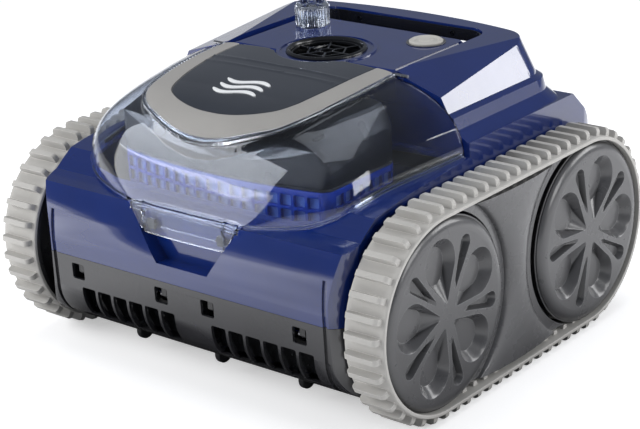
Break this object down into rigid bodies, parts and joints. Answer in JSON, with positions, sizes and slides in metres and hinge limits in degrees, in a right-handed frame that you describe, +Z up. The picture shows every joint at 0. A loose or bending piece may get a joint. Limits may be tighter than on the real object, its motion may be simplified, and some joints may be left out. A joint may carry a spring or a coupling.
{
  "type": "robotic pool cleaner",
  "caption": "Cordless robotic pool cleaner with twin rubber tracks, a hinged clear lid over a filter canister, a top water outlet and a rear carry handle.",
  "frame": {"origin": "on the ground, midway between the tracks and midway between the front and rear axles", "axes": "+X to the right-hand track, -Y is the front with the intake mouths, +Z up"},
  "size_m": [0.44, 0.4134, 0.2844],
  "materials": {
    "shell_blue": "glossy moulded",
    "grey_plastic": "moulded",
    "skirt_plastic": "glossy moulded",
    "black_plastic": "moulded",
    "clear_plastic": "clear polycarbonate",
    "button_plastic": "satin",
    "spring_steel": "wire",
    "pin_steel": "ground",
    "clip_steel": "blackened",
    "trim_plastic": "fine matte",
    "panel_plastic": "satin slate",
    "emblem_plastic": "printed",
    "seal_rubber": "soft",
    "basket_plastic": "translucent blue",
    "mesh_fabric": "fine mesh",
    "roller_rubber": "moulded",
    "motor_metal": "potted",
    "battery_plastic": "sealed case",
    "bush_plastic": "acetal",
    "screw_steel": "stainless",
    "wheel_plastic": "satin moulded",
    "belt_rubber": "matte moulded"
  },
  "bodies": {
    "chassis": {"main_housing": "shell_blue", "deck_cover": "shell_blue", "carry_handle": "shell_blue", "base_tray": "grey_plastic", "front_skirt": "skirt_plastic", "rear_skirt": "skirt_plastic", "handle_liner": "black_plastic", "outlet_bezel": "black_plastic", "outlet_grille": "black_plastic", "pump_duct": "black_plastic", "charge_socket": "black_plastic", "button_bezel": "grey_plastic", "button_spring": "spring_steel", "lid_hinge_pins": "pin_steel", "filter_basket": "basket_plastic", "filter_mesh": "mesh_fabric", "canister_seal": "seal_rubber", "canister_top": "black_plastic", "intake_ducts": "grey_plastic", "skirt_pins": "pin_steel", "hinge_clips": "clip_steel", "flap_springs": "spring_steel", "pump_motor": "motor_metal", "battery_pack": "battery_plastic", "control_box": "battery_plastic", "drive_motor_left": "motor_metal", "drive_motor_right": "motor_metal", "wheel_bushes": "bush_plastic", "rear_axles": "pin_steel", "base_screws": "screw_steel", "handle_screws": "screw_steel", "side_plate_left": "wheel_plastic", "side_plate_right": "wheel_plastic", "track_belt_left": "belt_rubber", "track_belt_right": "belt_rubber"},
    "lid": {"lid": "clear_plastic", "lid_trim": "trim_plastic", "window_panel": "panel_plastic", "lid_emblem": "emblem_plastic", "lid_seal": "seal_rubber", "lid_catches": "clip_steel"},
    "power_button": {"power_button": "button_plastic"},
    "port_cap": {"port_cap": "clear_plastic"},
    "wheel_front_left": {"wheel_rim_front_left": "wheel_plastic", "wheel_cover_front_left": "wheel_plastic", "drive_shaft_left": "pin_steel"},
    "wheel_front_right": {"wheel_rim_front_right": "wheel_plastic", "wheel_cover_front_right": "wheel_plastic", "drive_shaft_right": "pin_steel"},
    "wheel_rear_left": {"wheel_rim_rear_left": "wheel_plastic", "wheel_cover_rear_left": "wheel_plastic"},
    "wheel_rear_right": {"wheel_rim_rear_right": "wheel_plastic", "wheel_cover_rear_right": "wheel_plastic"},
    "impeller": {"impeller": "black_plastic", "pump_shaft": "pin_steel"},
    "guide_roller_left": {"guide_roller_left": "roller_rubber"},
    "guide_roller_middle": {"guide_roller_middle": "roller_rubber"},
    "guide_roller_right": {"guide_roller_right": "roller_rubber"},
    "intake_flap_left": {"intake_flap_left": "black_plastic"},
    "intake_flap_right": {"intake_flap_right": "black_plastic"}
  },
  "joints": [
    {"name": "lid_hinge", "type": "hinge", "parent": "chassis", "child": "lid", "pos_m": [0, -0.0135, 0.2585], "axis": [-1, 0, 0], "range_deg": [0, 75]},
    {"name": "button_press", "type": "slide", "parent": "chassis", "child": "power_button", "axis": [0, 0, -1], "range_m": [0, 0.002], "stiffness_N_per_m": 600, "springref_m": -0.0006, "deforming": ["button_spring"]},
    {"name": "port_cap_turn", "type": "hinge", "parent": "chassis", "child": "port_cap", "pos_m": [-0.065, 0.074, 0.27], "axis": [0, 0, 1], "range_deg": [0, 90]},
    {"name": "wheel_front_left_spin", "type": "hinge", "parent": "chassis", "child": "wheel_front_left", "pos_m": [-0.2, -0.1111, 0.0958], "axis": [1, 0, 0], "continuous": true},
    {"name": "wheel_rear_left_spin", "type": "hinge", "parent": "chassis", "child": "wheel_rear_left", "pos_m": [-0.2, 0.1111, 0.0958], "axis": [1, 0, 0], "continuous": true},
    {"name": "wheel_front_right_spin", "type": "hinge", "parent": "chassis", "child": "wheel_front_right", "pos_m": [0.2, -0.1111, 0.0958], "axis": [1, 0, 0], "continuous": true},
    {"name": "wheel_rear_right_spin", "type": "hinge", "parent": "chassis", "child": "wheel_rear_right", "pos_m": [0.2, 0.1111, 0.0958], "axis": [1, 0, 0], "continuous": true},
    {"name": "impeller_spin", "type": "hinge", "parent": "chassis", "child": "impeller", "pos_m": [0, 0.014, 0.172], "axis": [0, 0, 1], "continuous": true},
    {"name": "guide_roller_left_spin", "type": "hinge", "parent": "chassis", "child": "guide_roller_left", "pos_m": [-0.096, -0.149, 0.022], "axis": [1, 0, 0], "continuous": true},
    {"name": "guide_roller_middle_spin", "type": "hinge", "parent": "chassis", "child": "guide_roller_middle", "pos_m": [0, -0.149, 0.022], "axis": [1, 0, 0], "continuous": true},
    {"name": "guide_roller_right_spin", "type": "hinge", "parent": "chassis", "child": "guide_roller_right", "pos_m": [0.096, -0.149, 0.022], "axis": [1, 0, 0], "continuous": true},
    {"name": "intake_flap_left_hinge", "type": "hinge", "parent": "chassis", "child": "intake_flap_left", "pos_m": [-0.078, -0.1865, 0.085], "axis": [1, 0, 0], "range_deg": [0, 38], "stiffness_Nm_per_rad": 0.02, "springref_deg": -17.19},
    {"name": "intake_flap_right_hinge", "type": "hinge", "parent": "chassis", "child": "intake_flap_right", "pos_m": [0.078, -0.1865, 0.085], "axis": [1, 0, 0], "range_deg": [0, 38], "stiffness_Nm_per_rad": 0.02, "springref_deg": -17.19}
  ],
  "couplings": [
    {"joint": "wheel_rear_left_spin", "follows": "wheel_front_left_spin", "ratio": 1},
    {"joint": "wheel_rear_right_spin", "follows": "wheel_front_right_spin", "ratio": 1}
  ]
}
